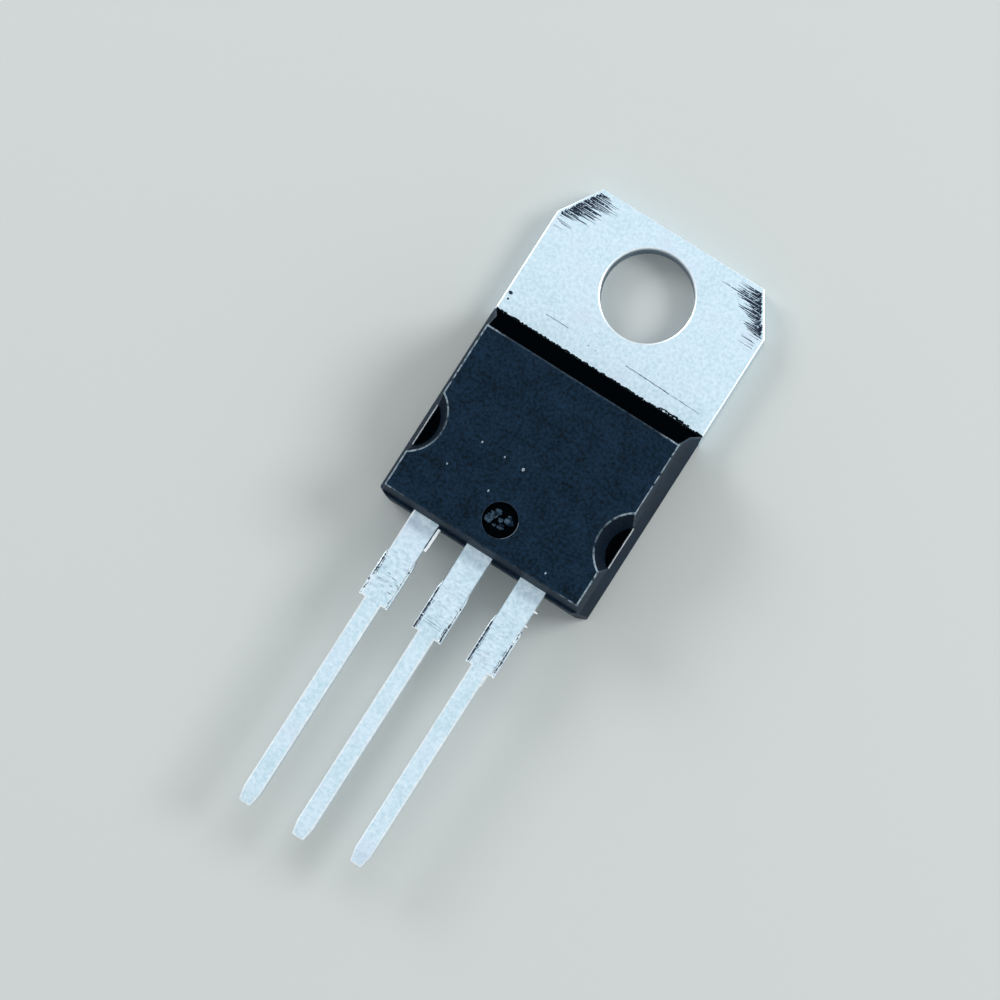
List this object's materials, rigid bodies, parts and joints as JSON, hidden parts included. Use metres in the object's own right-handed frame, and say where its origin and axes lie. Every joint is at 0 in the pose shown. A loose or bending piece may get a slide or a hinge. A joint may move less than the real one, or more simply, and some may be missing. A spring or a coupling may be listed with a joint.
{
  "type": "power transistor",
  "caption": "Through-hole power transistor: moulded plastic block on a metal tab with a mounting hole, flat tinned leads in a row.",
  "frame": {"origin": "centre of the mounting hole, on the plane of the metal back", "axes": "+Z out of the moulded face, +Y from the leads towards the tab's free end, +X across the tab with the base lead on the -X side; the part lies on its metal back"},
  "size_m": [0.01, 0.0289, 0.0045],
  "materials": {
    "tinned_copper": "matt tin plate on stamped copper",
    "silicon": "polished",
    "solder": "dull",
    "bond_wire": "drawn wire",
    "mould_compound": "moulded epoxy, fine grain"
  },
  "bodies": {
    "root": {"collector_tab": "tinned_copper", "base_lead": "tinned_copper", "emitter_lead": "tinned_copper", "chip": "silicon", "die_solder": "solder", "base_wire": "bond_wire", "emitter_wire": "bond_wire", "moulded_body": "mould_compound"}
  },
  "joints": []
}
